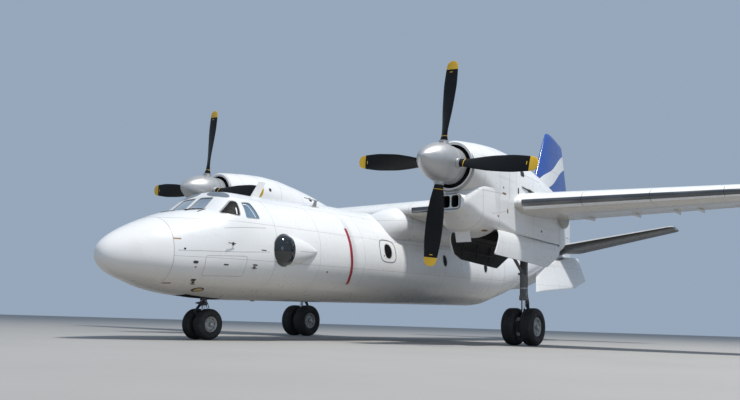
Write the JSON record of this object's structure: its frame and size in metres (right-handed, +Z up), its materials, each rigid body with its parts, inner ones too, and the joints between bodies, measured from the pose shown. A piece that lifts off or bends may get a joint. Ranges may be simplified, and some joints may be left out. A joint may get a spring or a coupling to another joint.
{
  "type": "twin turboprop high-wing transport aircraft",
  "caption": "High-wing turboprop transport standing on its landing gear, with raised engine nacelles, a swept fin, ventral fins and a rear cargo ramp.",
  "frame": {"origin": "on the ground, under the middle of the bounding box", "axes": "+X towards the port wing tip, -Y towards the nose, +Z up"},
  "size_m": [29.2, 23.68, 8.75],
  "materials": {
    "white_paint": "gloss white paint, a little weathered",
    "blue_paint": "gloss blue paint",
    "grey_paint": "satin grey paint",
    "bare_metal": "satin bare metal",
    "polished_edge": "polished dark leading edge",
    "blade_black": "satin black with yellow tips",
    "gear_metal": "worn grey enamel",
    "wheel_metal": "painted cast alloy",
    "tyre": "worn tyre rubber",
    "window_glass": "tinted glass",
    "engine_metal": "dull dark casting"
  },
  "bodies": {
    "airframe": {"radome": "white_paint", "fuselage": "white_paint", "cargo_ramp": "white_paint", "blister_window": "window_glass", "windshield_port": "window_glass", "windshield_starboard": "window_glass", "side_window_port": "window_glass", "side_window_starboard": "window_glass", "rear_side_window_port": "window_glass", "rear_side_window_starboard": "window_glass", "blade_antenna": "white_paint", "wing_center": "white_paint", "inner_flap_port": "white_paint", "inner_flap_starboard": "white_paint", "outer_wing_port": "white_paint", "outer_wing_starboard": "white_paint", "leading_edge_port": "polished_edge", "leading_edge_starboard": "polished_edge", "outer_flap_port": "white_paint", "outer_flap_starboard": "white_paint", "nacelle_port": "white_paint", "nacelle_starboard": "white_paint", "engine_block_port": "engine_metal", "engine_block_starboard": "engine_metal", "outer_bay_door_port": "white_paint", "outer_bay_door_starboard": "white_paint", "inner_bay_door_port": "white_paint", "inner_bay_door_starboard": "white_paint", "main_leg_port": "gear_metal", "main_leg_starboard": "gear_metal", "nose_leg": "gear_metal", "fin": "blue_paint", "tailplane_port": "grey_paint", "tailplane_starboard": "grey_paint", "ventral_fin_port": "white_paint", "ventral_fin_starboard": "white_paint"},
    "port_propeller": {"propeller_port": "blade_black", "spinner_port": "bare_metal"},
    "starboard_propeller": {"propeller_starboard": "blade_black", "spinner_starboard": "bare_metal"},
    "port_main_wheels": {"main_hubs_port": "wheel_metal", "main_tyre_outer_port": "tyre", "main_tyre_inner_port": "tyre"},
    "starboard_main_wheels": {"main_hubs_starboard": "wheel_metal", "main_tyre_outer_starboard": "tyre", "main_tyre_inner_starboard": "tyre"},
    "nose_fork": {"nose_steering": "gear_metal"},
    "nose_wheels": {"nose_hubs": "wheel_metal", "nose_tyre_port": "tyre", "nose_tyre_starboard": "tyre"},
    "port_aileron": {"aileron_port": "white_paint"},
    "starboard_aileron": {"aileron_starboard": "white_paint"},
    "port_elevator": {"elevator_port": "grey_paint"},
    "starboard_elevator": {"elevator_starboard": "grey_paint"},
    "rudder_surface": {"rudder": "blue_paint"}
  },
  "joints": [
    {"name": "port_propeller_spin", "type": "hinge", "parent": "airframe", "child": "port_propeller", "pos_m": [3.95, -5.86, 4.11], "axis": [0, 1, 0], "continuous": true},
    {"name": "starboard_propeller_spin", "type": "hinge", "parent": "airframe", "child": "starboard_propeller", "pos_m": [-3.95, -5.86, 4.11], "axis": [0, 1, 0], "continuous": true},
    {"name": "port_wheels_roll", "type": "hinge", "parent": "airframe", "child": "port_main_wheels", "pos_m": [3.95, -1.5, 0.49635], "axis": [1, 0, 0], "continuous": true},
    {"name": "starboard_wheels_roll", "type": "hinge", "parent": "airframe", "child": "starboard_main_wheels", "pos_m": [-3.95, -1.5, 0.49635], "axis": [1, 0, 0], "continuous": true},
    {"name": "nose_steer", "type": "hinge", "parent": "airframe", "child": "nose_fork", "pos_m": [0, -9.15, 0.83], "axis": [0, 0, 1], "range_deg": [-45, 45]},
    {"name": "nose_wheels_roll", "type": "hinge", "parent": "nose_fork", "child": "nose_wheels", "pos_m": [0, -9.15, 0.33256], "axis": [1, 0, 0], "continuous": true},
    {"name": "port_aileron_hinge", "type": "hinge", "parent": "airframe", "child": "port_aileron", "pos_m": [11.65, -1.02985, 3.59705], "axis": [0.9999, 0.0104, 0.0022], "range_deg": [-20, 20]},
    {"name": "starboard_aileron_hinge", "type": "hinge", "parent": "airframe", "child": "starboard_aileron", "pos_m": [-11.65, -1.02985, 3.59705], "axis": [0.9999, -0.0104, -0.0022], "range_deg": [-20, 20]},
    {"name": "port_elevator_hinge", "type": "hinge", "parent": "airframe", "child": "port_elevator", "pos_m": [2.845, 9.7825, 4.05711], "axis": [0.9873, -0.0433, 0.1531], "range_deg": [-9, 36]},
    {"name": "starboard_elevator_hinge", "type": "hinge", "parent": "airframe", "child": "starboard_elevator", "pos_m": [-2.845, 9.7825, 4.05711], "axis": [0.9873, 0.0433, -0.1531], "range_deg": [-9, 36]},
    {"name": "rudder_hinge", "type": "hinge", "parent": "airframe", "child": "rudder_surface", "pos_m": [0, 10.08, 6.5], "axis": [0, 0, -1], "range_deg": [-25, 25]}
  ],
  "couplings": [
    {"joint": "starboard_aileron_hinge", "follows": "port_aileron_hinge", "ratio": -1},
    {"joint": "starboard_elevator_hinge", "follows": "port_elevator_hinge", "ratio": 1}
  ]
}
